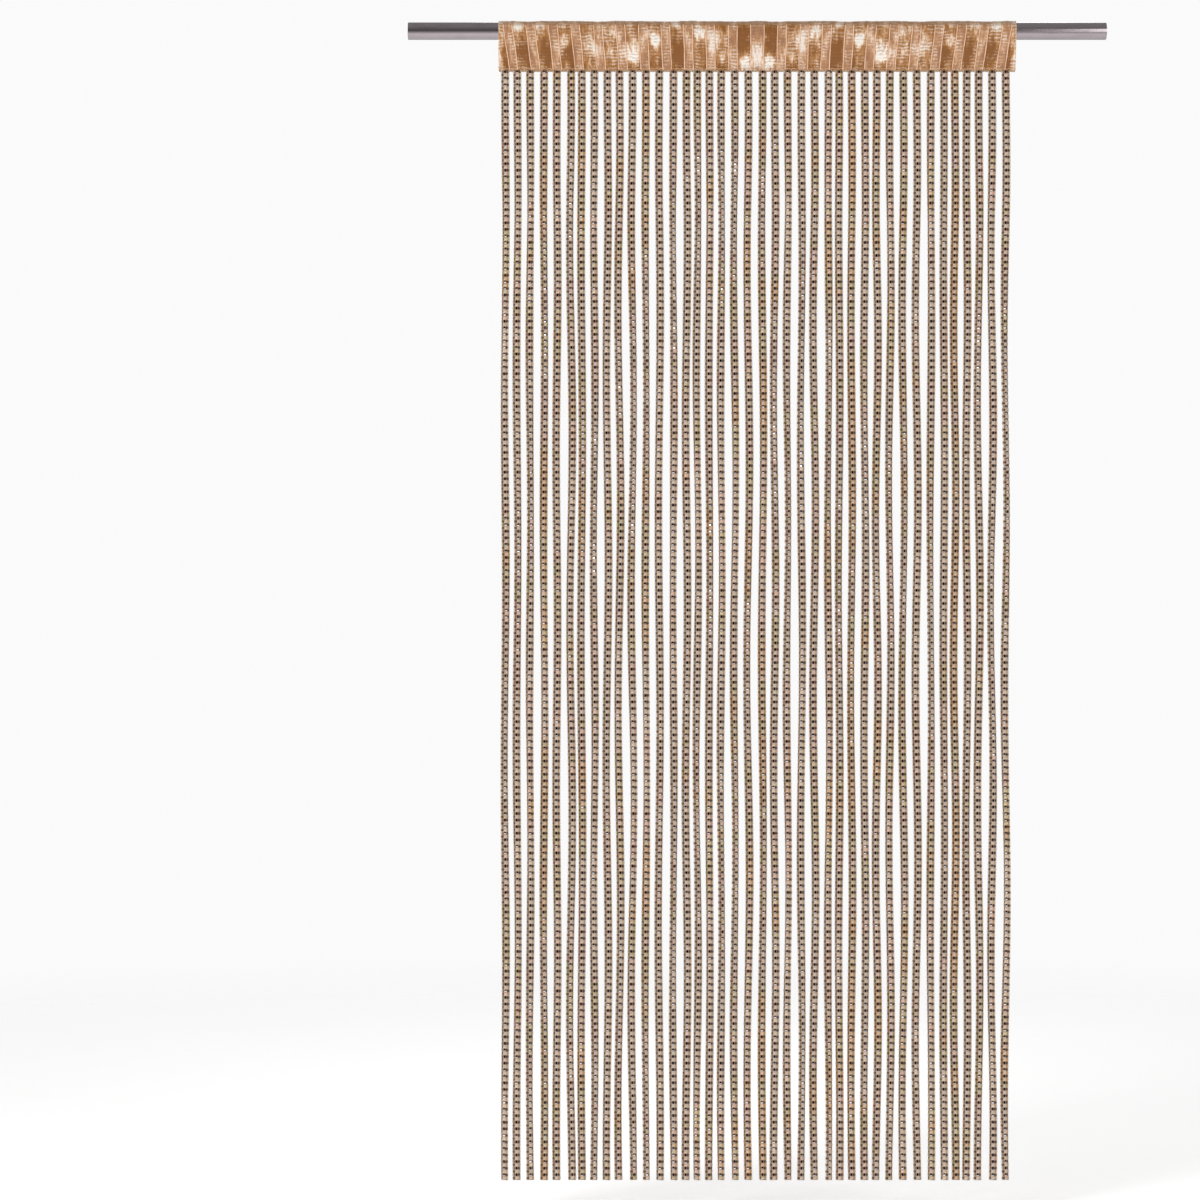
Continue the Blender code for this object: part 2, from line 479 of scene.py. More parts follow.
@dataclass(frozen=True)
class ThreadBunch:
    """Clear and gold threads that cross the foil between two plates, with painted glints and painted shade
    where they go down to the plates.
    """

    name: str
    light: Colour
    peach: Colour
    dark: Colour
    glint: Colour
    slit: Colour

    def made(self) -> bpy.types.Material:
        """Makes the material.

        Returns:
            The material.
        """
        dye = Dye.material_named(self.name)
        unit = Unit.of(dye)
        wobble = dye.noise(unit.at(), 0.6, 3) - 0.5
        lines = (unit.across * WIDTH_MM * 1.5 + wobble * 2.0 + unit.along * 2.5).wave()
        glints = dye.noise(unit.at(1.6), 1.3, 1).step(0.56, 0.66)
        spread = dye.vector(unit.across * 16.0, unit.along * 16.0, unit.kind * 5 + unit.tint * 9)
        shadows = dye.noise(spread, 1.0, 2)
        colour = dye.blend(lines, self.peach, self.light)
        colour = dye.blend(shadows.step(0.58, 0.70) * 0.6, colour, self.dark)
        off = unit.along - BULGE
        # painted shade where the threads go down to the plates
        ends = (off.size() - 0.2).step(0.0, 0.12)
        colour = dye.blend(ends * 0.9, colour, self.dark)
        colour = dye.blend(glints * (1 - ends), unit.tinted(colour), self.glint)
        off = off + wobble * 0.05
        narrow = 1 - (unit.out + unit.kind * -0.2).step(0.7, 1.0)
        colour = dye.blend(narrow * (1 - (off - 0.035).size().step(0.02, 0.035)), colour, self.glint)
        slit = narrow * (1 - off.size().step(0.012, 0.026)) * ((unit.kind > 1.5) * 0.65 + 0.35)
        return dye.finish(
            Base_Color=dye.blend(slit, colour, self.slit),
            Metallic=glints * 0.3,
            Roughness=0.5 - glints * 0.25,
            Normal=dye.bump(lines, 0.7, 0.0003),
        )


@dataclass(frozen=True)
class Patch:
    """A soft patch of painted sheen or painted shade on the satin, the same on both halves of the heading; it
    also swells or dents the cloth.
    """

    side: float  # distance from the middle, in metres
    height: float
    wide: float
    tall: float
    tone: float  # above 0 for painted sheen, below 0 for painted shade

    def off(self, side: Value, height: Value) -> Value:
        """The square of the distance from its middle, 1 at its rim."""
        return ((side - self.side) / self.wide) ** 2 + ((height - self.height) / self.tall) ** 2


@dataclass(frozen=True)
class Satin:
    """Bronze satin with fine cross threads, uneven painted sheen and shade, painted shadows beside the cords,
    light selvedges and painted shade where it rolls over the rod.
    """

    name: str
    cut: "Heading"  # the cloth's size, its patches and where its cords lie
    deep: Colour
    brown: Colour
    bronze: Colour
    pale: Colour
    white: Colour
    rose: Colour  # of the narrow strips inside each pair of cords
    roll_shade: Colour  # painted shade where it goes over the rod
    shares: tuple[float, ...] = (0.0, 0.16, 0.37, 0.59, 0.80)  # where each tone from deep to white lies
    rung: float = 0.0058  # between two cross threads
    selvedge: float = 0.011

    def made(self) -> bpy.types.Material:
        """Makes the material.

        Returns:
            The material.
        """
        dye, cut = Dye.material_named(self.name), self.cut
        x, y, z = dye.place()
        v = dye.chart(CLOTH_MAP)[1]
        side = x.size() / (z * cut.lean + 1.0)
        # painted sheen in fine streaks
        sheen_streak = dye.noise(dye.vector(side, y * 0.2, z * 0.3), 190, 3, 0.6).step(0.32, 0.68)
        # patches of painted sheen where light and painted shade where dark
        marks = None
        for patch in cut.patches:
            mark = dye.maths("EXPONENT", patch.off(side, z) ** 1.5 * -1.0) * patch.tone
            marks = mark if marks is None else marks + mark
        sheen = dye.noise(dye.vector(side, y * 0.3, z * 0.45), 82, 5, 0.75)
        tone = (sheen - 0.5) * 2.3 + marks * (sheen_streak * 0.8 + 0.95)
        tone = tone + (x.size() - (cut.width / 2 - self.selvedge)).step(0.0, 0.003) * 0.35
        gap = (side - cut.first_pair) / cut.pair_pitch
        strip = gap + 0.5
        off_middle = (strip.part() - 0.5).size() * cut.pair_pitch
        cord = cut.pair_spread / 2
        paired = 1 - off_middle.step(cord - 0.0005, cord + 0.0005)
        # painted shadow along both sides of each cord
        beside = 1 - (off_middle - cord).size().step(0.0010, 0.0028)
        low = 1 - (z + 0.022).step(-0.016, 0.016)
        tone = tone - (1 - paired) * low * 0.12 - beside * 0.14
        tone = tone + (dye.noise(dye.vector(x, y * 0.2, z * 0.16), 330, 2) - 0.5) * 0.7
        shift = paired * (strip.whole() * 0.37 + 0.45) + (1 - paired) * (gap.whole() * 0.53)
        ripple = dye.noise(dye.vector(x, z, y), 90, 3) * 1.5 + shift
        rungs = (v * (cut.length / self.rung) + ripple).wave()
        fine = (v * (cut.length / self.rung * 2.7) + ripple * 2.2).wave()
        # painted sheen on the cross threads, strongest in the bright patches, with painted shade between them
        strong = dye.noise(dye.vector(x, z * 0.7, y), 70, 2).step(0.40, 0.64) * 0.9 + 0.10
        strong = strong * (tone * 1.6 + 0.85).clamped() * 0.7
        colour = dye.ramp(
            (tone * 0.8 + paired * 0.05 + 0.34).clamped(),
            tuple(zip(self.shares, (self.deep, self.brown, self.bronze, self.pale, self.white), strict=True)),
        )
        colour = dye.blend(paired * 0.26, colour, self.rose)
        colour = dye.blend((rungs - 0.35).clamped() * strong, colour, self.white)
        colour = dye.blend((0.65 - rungs).clamped() * strong, colour, self.brown)
        colour = dye.blend(fine * 0.12, colour, self.pale)
        # painted shade over the top of the roll
        over = (z - 0.007).step(0.0, 0.004)
        colour = dye.blend(over * 0.55, colour, self.roll_shade)
        line = 1 - (z - 0.0085).size().step(0.0004, 0.0016)
        height = rungs * 0.7 + dye.noise(dye.vector(x, z, y), 420, 2) * 0.3
        return dye.finish(
            Base_Color=dye.blend(line * 0.3, colour, self.brown),
            Metallic=0.25,
            Roughness=(0.52 - (tone + 0.5).clamped() * 0.18).clamped(),
            Normal=dye.bump(height, 0.55, 0.0004),
        )


@dataclass(frozen=True)
class PaleThread:
    """A smooth pale thread with a slight twist."""

    name: str
    light: Colour
    shade: Colour
    turns: float = 420.0  # per metre

    def made(self) -> bpy.types.Material:
        """Makes the material.

        Returns:
            The material.
        """
        dye = Dye.material_named(self.name)
        x, y, z = dye.place()
        twist = ((z - y) * self.turns + x * self.turns).wave()
        patches = dye.noise(dye.vector(x, y, z), 90, 2).step(0.35, 0.65)
        return dye.finish(
            Base_Color=dye.blend(twist * 0.4 + patches * 0.6, self.shade, self.light),
            Roughness=0.5,
            Sheen_Weight=0.2,
            Normal=dye.bump(twist, 0.5, 0.0002),
        )


@dataclass(frozen=True)
class BrushedMetal:
    """Grey metal with fine lines round the rod and a few dull marks."""

    name: str
    grey: Colour
    dark: Colour

    def made(self) -> bpy.types.Material:
        """Makes the material.

        Returns:
            The material.
        """
        dye = Dye.material_named(self.name)
        x, y, z = dye.place()
        lines = dye.noise(dye.vector(x * 60.0, y * 2.0, z * 2.0), 40, 3, 0.7)
        marks = dye.noise(dye.vector(x * 2.0, y * 8.0, z * 8.0), 12, 4).step(0.45, 0.7)
        return dye.finish(
            Base_Color=dye.blend(lines * 0.5 + marks * 0.25, self.grey, self.dark),
            Metallic=1.0,
            Roughness=lines * 0.08 + marks * 0.04 + 0.17,
            Normal=dye.bump(lines, 0.05, 0.00005),
        )


# Handwork.

Test = Callable[[bmesh.types.BMVert], bool]
Items = bpy.types.bpy_prop_collection


class Bench:
    """The work bench: takes up pieces and parts of pieces, as a maker's hand does."""

    @staticmethod
    def take(*pieces: Piece) -> None:
        """Takes up these pieces only.

        Args:
            pieces: The pieces. The first one, if any, becomes the active one.
        """
        if bpy.context.object and bpy.context.object.mode != "OBJECT":
            bpy.ops.object.mode_set(mode="OBJECT")
        bpy.ops.object.select_all(action="DESELECT")
        for piece in pieces:
            piece.select_set(True)
        if pieces:
            bpy.context.view_layer.objects.active = pieces[0]

    @staticmethod
    def settled(piece: Piece) -> Piece:
        """Applies a piece's place, turn and scale to its mesh.

        Args:
            piece: The piece.

        Returns:
            The same piece.
        """
        Bench.take(piece)
        bpy.ops.object.transform_apply(location=True, rotation=True, scale=True)
        return piece

    @staticmethod
    def added(shape: str, name: str, **settings: object) -> Piece:
        """Adds a mesh of a plain shape.

        Args:
            shape: The shape, as Blender calls it.
            name: The name of the piece.
            settings: Its sizes and its place.

        Returns:
            The piece, settled.
        """
        Bench.take()
        getattr(bpy.ops.mesh, f"primitive_{shape}_add")(**settings)
        piece = bpy.context.object
        piece.name = piece.data.name = name
        return Bench.settled(piece)

    @staticmethod
    def placed(data: bpy.types.ID) -> Piece:
        """Sets something out under its own name.

        Args:
            data: The mesh, curve, light or camera.

        Returns:
            What holds it.
        """
        made = bpy.data.objects.new(data.name, data)
        bpy.context.scene.collection.objects.link(made)
        return made

    @staticmethod
    def curve(name: str, runs: Sequence[Sequence[tuple]], **settings: object) -> Piece:
        """Draws a curve of straight steps.

        Args:
            name: Its name.
            runs: The points of each run, each with its place, its radius and its tilt.
            settings: The curve's properties.

        Returns:
            The curve.
        """
        data = bpy.data.curves.new(name, "CURVE")
        data.dimensions = "3D"
        for key, value in settings.items():
            setattr(data, key, value)
        for run in runs:
            spline = data.splines.new("POLY")
            spline.points.add(len(run) - 1)
            for point, (place, radius, tilt) in zip(spline.points, run, strict=True):
                point.co = (*place, 1)
                point.radius = radius
                point.tilt = tilt
        return Bench.placed(data)

    @staticmethod
    @contextmanager
    def opened(piece: Piece) -> Iterator[None]:
        """Edit mode on one piece.

        Args:
            piece: The piece.

        Yields:
            Nothing. The piece is edited in the meantime.
        """
        Bench.take(piece)
        bpy.ops.object.mode_set(mode="EDIT")
        bpy.ops.mesh.select_mode(type="VERT")
        yield
        bpy.ops.object.mode_set(mode="OBJECT")

    @staticmethod
    def hold(piece: Piece, test: Test) -> None:
        """Selects the points that pass a test, in edit mode.

        Args:
            piece: The piece being edited.
            test: Which points are held.
        """
        mesh = bmesh.from_edit_mesh(piece.data)
        for face in mesh.faces:
            face.select = False
        for vertex in mesh.verts:
            vertex.select = test(vertex)
        mesh.select_flush(True)
        mesh.select_flush(False)
        bmesh.update_edit_mesh(piece.data)

    @staticmethod
    def shift(piece: Piece, test: Test, by: Sequence[float]) -> None:
        """Moves the points that pass a test, in edit mode."""
        Bench.hold(piece, test)
        bpy.ops.transform.translate(value=tuple(by))

    @staticmethod
    def outwards() -> None:
        """Turns all faces outwards, in edit mode."""
        bpy.ops.mesh.select_all(action="SELECT")
        bpy.ops.mesh.normals_make_consistent(inside=False)

    @staticmethod
    def apply(piece: Piece, kind: str, **settings: object) -> None:
        """Adds a modifier and applies it.

        Args:
            piece: The piece.
            kind: The modifier's type.
            settings: Its properties.
        """
        Bench.take(piece)
        added = piece.modifiers.new(kind.lower(), kind)
        for key, value in settings.items():
            setattr(added, key, value)
        bpy.ops.object.modifier_apply(modifier=added.name)

    @staticmethod
    def row(piece: Piece, count: int, pitch: float, **settings: object) -> None:
        """Repeats a piece along +X: how often, at what pitch, and the other properties of the modifier."""
        settings |= {"use_relative_offset": False, "use_constant_offset": True}
        Bench.apply(piece, "ARRAY", count=count, constant_offset_displace=(pitch, 0, 0), **settings)

    @staticmethod
    def joined(pieces: Sequence[Piece], name: str) -> Piece:
        """Joins pieces.

        Args:
            pieces: The pieces.
            name: The name of what they make.

        Returns:
            The one piece.
        """
        Bench.take(*pieces)
        bpy.ops.object.join()
        pieces[0].name = pieces[0].data.name = name
        return pieces[0]

    @staticmethod
    def smooth(piece: Piece, degrees: float) -> None:
        """Shades a piece smooth, but for edges sharper than this."""
        Bench.take(piece)
        bpy.ops.object.shade_smooth_by_angle(angle=math.radians(degrees))


def read(items: Items, key: str, width: int = 1, kind: type = np.float32) -> np.ndarray:
    """Reads one property of all items of a mesh.

    Args:
        items: The faces, loops or values.
        key: The property.
        width: How many numbers it has.
        kind: The numbers' type.

    Returns:
        The numbers, in one row.
    """
    values = np.empty(len(items) * width, kind)
    items.foreach_get(key, values)
    return values


def report(piece: Piece, slot: str, *nodes: str) -> Piece:
    """Fixes a finished piece to the curtain and reports it.

    Args:
        piece: The finished piece.
        slot: The record's material slot that it belongs to; not used.
        nodes: The solids that it stands for.

    Returns:
        The piece.
    """
    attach(piece, "root")
    if nodes:
        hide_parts(*nodes)
    log.info("%s: %d faces", piece.name, len(piece.data.polygons))
    return piece


# The chain of one strand.

TOUCH = 1e-6  # places closer than this are one place, in metres


def at_one(first: float, second: float) -> bool:
    """Whether two places are one."""
    return abs(first - second) < TOUCH


def inset(share: float) -> float:
    """A share of a unit's map, counted inside its margin."""
    return MARGIN + (1 - 2 * MARGIN) * share


class Yarn(Enum):
    """What a face of the chain is made of, in the order of its material slots."""

    CREAM = 0
    GOLD = 1
    FOIL = 2
    THREAD = 3
    PEACH = 4
    MUSTARD = 5

    def finish(self) -> GimpCord | KnitStitch | FoilPlate | ThreadBunch:
        """The finish of this yarn.

        Returns:
            The finish, not made yet.
        """
        return {
            Yarn.CREAM: GimpCord(
                "cream gimp cord",
                light=dyed(255, 242, 224),
                shade=dyed(229, 200, 172),
                # deep: painted shade where the cord dips under the stitches
                deep=dyed(56, 34, 22),
            ),
            Yarn.GOLD: KnitStitch(
                "gold stitches",
                light=dyed(255, 238, 208),
                gold=dyed(234, 194, 152),
                dark=dyed(92, 54, 26),
                # knot: the knots' darker gold with painted shade
                knot_and_shade=dyed(78, 46, 24),
                beside=0.62,
                tuck=0.94,
            ),
            Yarn.FOIL: FoilPlate(
                "foil plates",
                silver=dyed(253, 252, 253),
                violet=dyed(22, 14, 24),
                blue=dyed(56, 58, 104),
            ),
            Yarn.THREAD: ThreadBunch(
                "clear and gold threads",
                light=dyed(244, 222, 202),
                peach=dyed(206, 168, 142),
                dark=dyed(60, 38, 32),
                glint=dyed(253, 250, 244),
                slit=dyed(34, 22, 26),
            ),
            Yarn.PEACH: GimpCord(
                "peach gimp cord",
                light=dyed(216, 178, 144),
                shade=dyed(170, 128, 98),
                # deep: painted shade where the cord dips under the stitches
                deep=dyed(84, 54, 36),
            ),
            Yarn.MUSTARD: KnitStitch(
                "mustard back stitches",
                light=dyed(214, 164, 100),
                gold=dyed(176, 122, 58),
                dark=dyed(92, 56, 26),
                knot_and_shade=dyed(92, 56, 26),
                rows=(2.1, 3.4, 5.0),
                windows=dyed(192, 182, 174),
            ),
        }[self]


FINISHES: dict[Yarn, bpy.types.Material] = {}  # made once, by main


@dataclass(frozen=True)
class Station:
    """A place along one unit of a layer, and where its section sits there, in millimetres."""

    along: float  # share of the unit
    across: float = 0.0  # shift of the whole section
    middle: float = 0.0  # height of the corners that the layer names as its middle
    spread: float = 0.0  # how far those corners stand out to their own sides


@dataclass(frozen=True)
class Layer:
    """One layer of the chain: the corners of its section, how they move, and the yarn of each side."""

    name: str
    corners: tuple[tuple[float, float], ...]  # across and height, in millimetres
    stations: tuple[Station, ...]
    yarns: tuple[Yarn, ...]  # of the side from each corner to the next
    chart: tuple[float, float]  # the layer's share of the map's width
    middle: tuple[int, ...] = ()
    straight: tuple[int, ...] = ()  # corners that need no points between the unit's two ends

    def knit(self, pitch: float) -> Piece:
        """Models and dresses one unit of the layer, lying along +X with its front up.

        Args:
            pitch: The unit's length, in metres.

        Returns:
            An open tube, which the next unit continues.
        """
        count = len(self.corners)
        ring = {"vertices": count, "radius": 0.004, "rotation": (0, math.pi / 2, 0)}
        piece = Bench.added("circle", self.name, **ring)  # each corner then goes to its own place
        piece.data.attributes.new("corner", "INT", "POINT").data.foreach_set("value", list(range(count)))
        first = self.stations[0]
        with Bench.opened(piece):
            mark = self.mark(piece)
            starts = [vertex.co.copy() for vertex in bmesh.from_edit_mesh(piece.data).verts]
            for i, (across, height) in enumerate(self.corners):
                goal = Vector((0, (across + first.across) / 1000, height / 1000))
                Bench.shift(piece, lambda v, i=i: v[mark] == i, goal - starts[i])
            for before, now in zip(self.stations, self.stations[1:], strict=False):
                start, end = before.along * pitch, now.along * pitch
                Bench.hold(piece, lambda v, start=start: at_one(v.co.x, start))
                by = (end - start, (now.across - before.across) / 1000, 0)
                bpy.ops.mesh.extrude_region_move(TRANSFORM_OT_translate={"value": by})
                for i in self.middle:
                    side = (now.spread - before.spread) * math.copysign(1, self.corners[i][0])
                    by = (0, side / 1000, (now.middle - before.middle) / 1000)
                    if any(by):
                        Bench.shift(
                            piece, lambda v, i=i, end=end: at_one(v.co.x, end) and v[mark] == i, by
                        )
        self.dress(piece, pitch)
        if self.straight:
            self.straighten(piece, pitch)
        return piece

    def mark(self, piece: Piece) -> bmesh.types.BMLayerItem:
        """The numbers of the corners, in edit mode."""
        return bmesh.from_edit_mesh(piece.data).verts.layers.int["corner"]

    def dress(self, piece: Piece, pitch: float) -> None:
        """Lays the unit's map and gives each face its yarn.

        Args:
            piece: One unit of the layer.
            pitch: The unit's length, in metres.
        """
        mesh = piece.data
        for yarn in Yarn:
            mesh.materials.append(FINISHES[yarn])
        chart = mesh.uv_layers.new(name=CHAIN_MAP)
        mesh.attributes.new("offset", "FLOAT", "FACE")
        numbers = [item.value for item in mesh.attributes["corner"].data]
        last = len(self.corners) - 1
        ring = [Vector(corner) for corner in (*self.corners, self.corners[0])]
        run = np.cumsum([0.0] + [(b - a).length for a, b in zip(ring, ring[1:], strict=False)])
        low, high = self.chart
        for face in mesh.polygons:
            marks = [numbers[i] for i in face.vertices]
            closing = 0 in marks and last in marks
            yarn = self.yarns[last if closing else min(marks)]
            middle = sum(mesh.vertices[i].co.x for i in face.vertices) / len(marks) / pitch
            if yarn is Yarn.FOIL and middle > PLATE:
                yarn = Yarn.THREAD
            face.material_index = yarn.value
            for loop, index, number in zip(face.loop_indices, face.vertices, marks, strict=True):
                around = run[last + 1 if closing and number == 0 else number] / run[-1]
                along = mesh.vertices[index].co.x / pitch
                chart.data[loop].uv = (inset(low + (high - low) * around), inset(along))

    def straighten(self, piece: Piece, pitch: float) -> None:
        """Takes out the points between the unit's two ends that its straight corners don't need.

        Args:
            piece: One unit of the layer.
            pitch: The unit's length, in metres.
        """
        with Bench.opened(piece):
            bpy.ops.mesh.select_mode(type="EDGE")
            bpy.ops.mesh.select_all(action="DESELECT")
            mark = self.mark(piece)
            for edge in bmesh.from_edit_mesh(piece.data).edges:
                one, other = edge.verts
                inner = TOUCH < one.co.x < pitch - TOUCH and at_one(one.co.x, other.co.x)
                edge.select_set(inner and (one[mark] in self.straight or other[mark] in self.straight))
            bmesh.update_edit_mesh(piece.data)
            bpy.ops.mesh.dissolve_edges(use_verts=True)


def stations(*places: tuple[float, float]) -> tuple[Station, ...]:
    """Stations of a layer that only shifts, each with its place along and its shift across."""
    return tuple(Station(*place) for place in places)


CORE = Layer(
    name="core",
    corners=(
        (-4.9, 0.1), (-3.2, 2.2), (-1.75, 1.4), (1.75, 1.4),
        (3.2, 2.2), (4.9, 0.1), (3.2, -2.5), (-3.2, -2.5),
    ),
    stations=(Station(0.0), Station(PLATE), Station(BULGE, middle=1.4, spread=0.65), Station(1.0)),
    yarns=(Yarn.GOLD,) * 2 + (Yarn.FOIL,) + (Yarn.GOLD,) * 2 + (Yarn.MUSTARD,) * 3,
    chart=(0.0, 0.66),
    middle=(2, 3),
    straight=(6, 7),
)

FRONT_CORD = Layer(
    name="front_cord",
    corners=((-1.15, -0.5), (0.0, 1.25), (1.5, -0.4)),
    stations=stations((0.0, -3.9), (0.17, -5.7), (0.5, -6.4), (0.83, -5.7), (1.0, -3.9)),
    yarns=(Yarn.CREAM,) * 3,
    chart=(0.67, 0.83),
)

BACK_CORD = Layer(
    name="back_cord",
    corners=((-1.0, -1.0), (1.5, -1.0), (0.1, -3.1)),
    stations=stations((0.0, -3.5), (0.18, -5.4), (0.5, -6.15), (0.82, -5.4), (1.0, -3.5)),
    yarns=(Yarn.PEACH,) * 3,
    chart=(0.84, 1.0),
)

ROOT_EDGE = Layer(
    name="root_edge",
    corners=((-1.7, 0.0), (-0.9, 0.9), (0.9, 0.9), (1.7, 0.0), (0.9, -0.9), (-0.9, -0.9)),
    stations=stations((0.0, 0.25), (0.5, -0.25), (1.0, 0.25)),
    yarns=(Yarn.GOLD,) * 6,
    chart=(0.0, 0.5),
)


@dataclass(frozen=True)
class Run:
    """Where a layer goes in the chain."""

    layer: Layer
    offset: float = 0.0  # how far along it starts, in units
    right: bool = False  # whether it is the right-hand one


CHAIN = (
    Run(CORE),
    Run(FRONT_CORD, PLATE / 2 - 0.5),
    Run(FRONT_CORD, PLATE / 2 - 1.0, right=True),
    Run(BACK_CORD, PLATE / 2 - 1.0),
    Run(BACK_CORD, PLATE / 2 - 0.5, right=True),
)


@dataclass(frozen=True)
class Hang:
    """How one strand hangs below its root, in metres and radians."""

    x: float
    sway: float
    sway_wave: float
    sway_start: float
    turn: float
    turn_wave: float
    turn_start: float
    depth: float
    held: float = 0.25  # how far down the root holds it back

    def at(self, down: float) -> tuple[float, float, float]:
        """The strand's middle and turn at a distance below the root.

        Args:
            down: The distance below the root.

        Returns:
            The shift along X, the shift along Y, and the turn about Z.
        """
        free = min(1.0, max(0.0, down) / self.held)
        wander = math.tau * down / self.sway_wave + self.sway_start
        turning = math.tau * down / self.turn_wave + self.turn_start
        across = free * self.sway * math.sin(wander)
        deep = free * self.depth * math.cos(wander * 0.7)
        return across, deep, free * self.turn * math.sin(turning)


@dataclass
class Strands:
    """The forty chain strands, each knitted flat and then hung with its own small sway and turn."""

    first: float = -0.4385  # where the first strand hangs
    steps_mm: tuple[float, ...] = (
        21.0, 22.3, 24.4, 22.3, 24.7, 18.6, 21.8, 22.8, 20.9, 22.8,
        23.3, 23.3, 24.7, 22.8, 18.8, 20.9, 20.7, 23.3, 23.7, 25.0,
    )
    repeats: int = 2
    seed: int = 207
    root: float = -0.070  # height where the strands leave the heading
    rooted: float = 0.0012  # how far they run up to the satin's edge
    end: float = STRANDS_BOX[0][2]
    units: int = 169
    weld: float = 0.00004  # how near the points of two units have to be to become one
    to_a_piece: int = 4
    points: int = 97  # of the line that a strand hangs on
    kind_ahead: float = 3.8  # variant of a plate that looks straight ahead, the dark end of its painted reflection
    kind_turned: float = 3.0  # how much less it is for every radian that it is turned
    kind_spread: float = 0.9
    tint_waves: tuple[tuple[float, float, float], ...] = ((0.8, 34, 60), (0.5, 13, 22), (0.35, 6, 9))
    tint_steps: tuple[float, ...] = (-0.1, 0.55, 1.15)  # where one tint ends and the next begins
    edge_pitch: float = 0.005
    edge_height: float = -0.0693
    edge_spare: float = 0.002  # how much narrower the knitted edge is than the solid

    @property
    def length(self) -> float:
        """The length of a strand."""
        return self.root + self.rooted - self.end

    @property
    def pitch(self) -> float:
        """The length of one unit of the chain."""
        return self.length / self.units

    def hangs(self) -> list[Hang]:
        """Every strand from left to right.

        Returns:
            How each of them hangs.
        """
        chance = np.random.default_rng(self.seed)
        made, x = [], self.first
        for step in self.steps_mm * self.repeats:
            made.append(
                Hang(
                    x=x,
                    sway=chance.uniform(0.0010, 0.0024),
                    sway_wave=chance.uniform(0.58, 0.72),
                    sway_start=chance.uniform(0, math.tau),
                    turn=math.radians(chance.uniform(10, 40)),
                    turn_wave=chance.uniform(0.95, 1.6),
                    turn_start=chance.uniform(0, math.tau),
                    depth=chance.uniform(0.0005, 0.0018),
                )
            )
            x += step / 1000
        return made

    def laid(self, run: Run) -> Piece:
        """Knits one layer's unit and lays it where it goes in the chain.

        Args:
            run: Which layer, and where it goes.

        Returns:
            The unit.
        """
        unit = run.layer.knit(self.pitch)
        unit.location.x = run.offset * self.pitch
        if run.right:
            unit.scale.y = -1
        Bench.settled(unit)
        for item in unit.data.attributes["offset"].data:
            item.value = run.offset
        return unit

    def repeated(self, unit: Piece, pitch: float, count: int, length: float) -> Piece:
        """Continues a unit along +X, cuts the run to its length and closes its ends.

        Args:
            unit: One unit.
            pitch: Its length.
            count: How many there are.
            length: Where the run is cut.

        Returns:
            The run.
        """
        Bench.row(unit, count, pitch, use_merge_vertices=True, merge_threshold=self.weld)
        with Bench.opened(unit):
            for at, side in ((0.0, {"clear_inner": True}), (length, {"clear_outer": True})):
                bpy.ops.mesh.select_all(action="SELECT")
                bpy.ops.mesh.bisect(plane_co=(at, 0, 0), plane_no=(1, 0, 0), use_fill=True, **side)
            Bench.outwards()
        return unit

    def chain(self) -> Piece:
        """Knits a straight chain of full length, lying along +X with its front up.

        Returns:
            The chain.
        """
        unit = Bench.joined([self.laid(run) for run in CHAIN], "chain")
        chain = self.repeated(unit, self.pitch, self.units + 1, self.length)
        Bench.take(chain)
        bpy.ops.object.shade_smooth()
        self.crisp(chain)
        return chain

    def crisp(self, chain: Piece) -> None:
        """Keeps the edges of the foil plates sharp.

        Args:
            chain: The straight chain.
        """
        with Bench.opened(chain):
            bpy.ops.mesh.select_mode(type="EDGE")
            for edge in bmesh.from_edit_mesh(chain.data).edges:
                plates = [face.material_index == Yarn.FOIL.value for face in edge.link_faces]
                edge.select = any(plates) and not all(plates)
            bmesh.update_edit_mesh(chain.data)
            bpy.ops.mesh.mark_sharp()

    def line(self, hang: Hang) -> Piece:
        """The line that a strand lies on before it is hung: +X is down, +Y across and +Z the front.

        Args:
            hang: How the strand hangs.

        Returns:
            The line, as a curve.
        """
        run = []
        for i in range(self.points):
            down = i * self.length / (self.points - 1) - self.rooted
            across, deep, turn = hang.at(down)
            run.append(((down + self.rooted, across, -deep), 1.0, -turn))
        return Bench.curve("line", [run], twist_mode="Z_UP")

    def vary(self, piece: Piece, hang: Hang, chance: np.random.Generator) -> None:
        """Gives each unit its variant: its plate's painted reflection by the strand's turn there, its tint in
        long soft runs.

        Args:
            piece: The straight chain.
            hang: How it will hang.
            chance: Where the chance comes from.
        """
        count = self.units + 3
        turns = np.array([abs(hang.at((i - 0.5) * self.pitch)[2]) for i in range(count)])
        kind = self.kind_ahead - self.kind_turned * turns + chance.normal(0, self.kind_spread, count)
        kind = np.clip(kind, 0, KINDS - 0.01).astype(int)
        at = np.arange(count)
        waves = [(share, chance.uniform(least, most)) for share, least, most in self.tint_waves]
        drift = sum(
            share * np.sin(math.tau * at / wave + chance.uniform(0, math.tau)) for share, wave in waves
        )
        drift += chance.normal(0, 0.25, count) + chance.normal(0, 0.5)
        tint = np.digitize(drift, self.tint_steps)
        mesh = piece.data
        middles = read(mesh.polygons, "center", 3, float)[::3]
        offsets = read(mesh.attributes["offset"].data, "value")
        unit = np.clip(np.floor(middles / self.pitch - offsets).astype(int), 0, count - 1)
        unit = np.repeat(unit, read(mesh.polygons, "loop_total", kind=np.int32))
        uv = read(mesh.uv_layers[CHAIN_MAP].data, "uv", 2).reshape(-1, 2)
        uv[:, 0] = (uv[:, 0] + tint[unit] // TINT_ROWS) / COLUMNS
        uv[:, 1] = (uv[:, 1] + kind[unit] + KINDS * (tint[unit] % TINT_ROWS)) / ROWS
        self.map(piece, uv)

    def map(self, piece: Piece, uv: np.ndarray) -> None:
        """Lays the same map for the patterns and for the bake.

        Args:
            piece: The knitted piece.
            uv: The map, one row for each corner of a face.
        """
        layers = piece.data.uv_layers
        layers[CHAIN_MAP].data.foreach_set("uv", uv.ravel())
        layers.new(name=BAKE_MAP).data.foreach_set("uv", uv.ravel())

